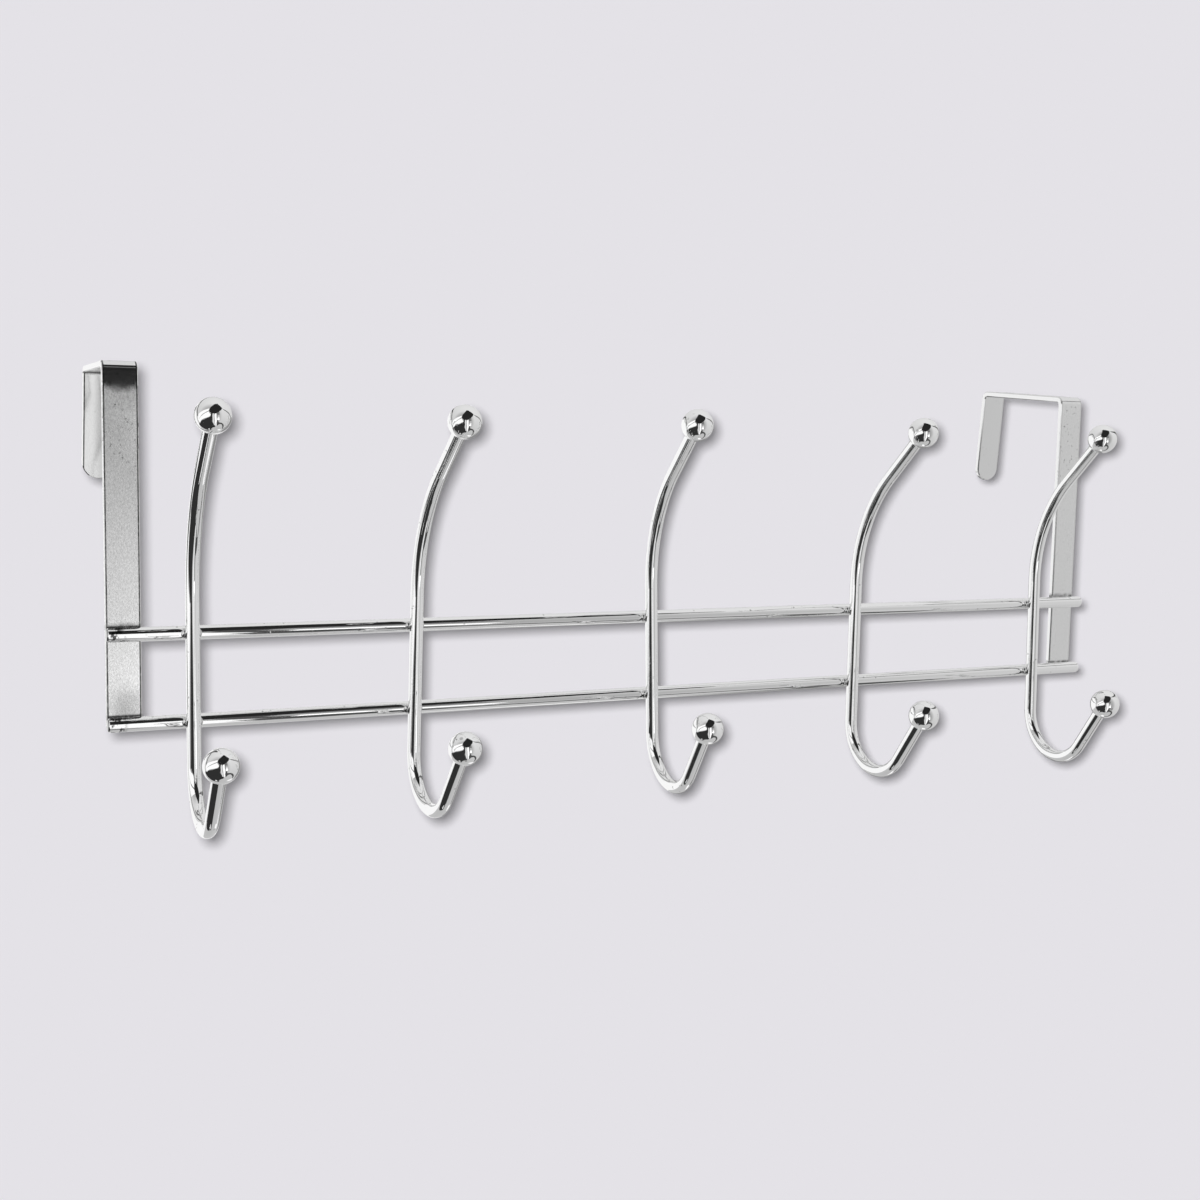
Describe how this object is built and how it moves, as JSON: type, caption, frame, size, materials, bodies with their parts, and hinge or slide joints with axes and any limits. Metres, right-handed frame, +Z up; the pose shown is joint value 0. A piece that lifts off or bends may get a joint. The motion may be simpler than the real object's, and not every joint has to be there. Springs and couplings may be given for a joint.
{
  "type": "over-door hook rack",
  "caption": "Over-door rack of bent steel wire: double hooks with ball ends welded across a pair of round rails, hung from flat straps that wrap over the door's top.",
  "frame": {"origin": "the door's top front edge, midway between the straps' outer edges: height zero is the underside of the top plates and depth zero is the rear face of the front legs", "axes": "+X to the right along the rails, -Y out towards the room, +Z up"},
  "size_m": [0.3612, 0.1047, 0.1385],
  "materials": {
    "bar_chrome": "bright, with fine pits",
    "wire_chrome": "mirror",
    "ball_chrome": "mirror"
  },
  "bodies": {
    "root": {"strap_left": "bar_chrome", "strap_right": "bar_chrome", "rail_upper": "wire_chrome", "rail_lower": "wire_chrome", "hook_1": "wire_chrome", "hook_2": "wire_chrome", "hook_3": "wire_chrome", "hook_4": "wire_chrome", "hook_5": "wire_chrome", "ball_upper_1": "ball_chrome", "ball_upper_2": "ball_chrome", "ball_upper_3": "ball_chrome", "ball_upper_4": "ball_chrome", "ball_upper_5": "ball_chrome", "ball_lower_1": "ball_chrome", "ball_lower_2": "ball_chrome", "ball_lower_3": "ball_chrome", "ball_lower_4": "ball_chrome", "ball_lower_5": "ball_chrome"}
  },
  "joints": []
}
